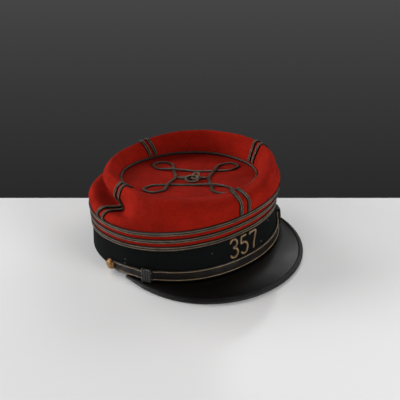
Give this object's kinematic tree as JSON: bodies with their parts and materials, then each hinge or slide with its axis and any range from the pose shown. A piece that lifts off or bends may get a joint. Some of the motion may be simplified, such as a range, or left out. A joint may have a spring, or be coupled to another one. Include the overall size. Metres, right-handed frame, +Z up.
{
  "type": "kepi cap",
  "caption": "Officer's kepi cap with a soft red cloth crown, dark band, metal-thread braids, black leather peak and a brass-buttoned chin strap, resting on its peak and band.",
  "frame": {"origin": "centre of the bounding box's bottom face, on the surface the cap rests on", "axes": "+Z up, the peak points along -Y, the wearer's right is along -X"},
  "size_m": [0.2078, 0.2352, 0.0938],
  "materials": {
    "crown_cloth": "red wool cloth, napped",
    "band_cloth": "blue-black wool cloth",
    "metal_braid": "tarnished metal-thread braid",
    "gold_thread": "gold-thread embroidery",
    "patent_leather": "glossy, crazed with age",
    "binding_leather": "satin",
    "strap_leather": "worn satin",
    "brass": "aged satin"
  },
  "bodies": {
    "root": {"band": "band_cloth", "crown_wall": "crown_cloth", "crown_top": "crown_cloth", "crown_seam_cord": "metal_braid", "rank_braid_1": "metal_braid", "rank_braid_2": "metal_braid", "rank_braid_3": "metal_braid", "quarter_braid_front_1": "metal_braid", "quarter_braid_front_2": "metal_braid", "quarter_braid_right_1": "metal_braid", "quarter_braid_right_2": "metal_braid", "quarter_braid_rear_1": "metal_braid", "quarter_braid_rear_2": "metal_braid", "quarter_braid_left_1": "metal_braid", "quarter_braid_left_2": "metal_braid", "knot_loops": "metal_braid", "knot_bar": "metal_braid", "knot_ring": "metal_braid", "numeral_1": "gold_thread", "numeral_2": "gold_thread", "numeral_3": "gold_thread", "peak": "patent_leather", "peak_binding": "binding_leather", "chin_strap": "strap_leather", "strap_tab_right": "strap_leather", "strap_tab_left": "strap_leather", "strap_slide_right": "strap_leather", "strap_slide_left": "strap_leather", "button_right": "brass", "button_left": "brass"}
  },
  "joints": []
}
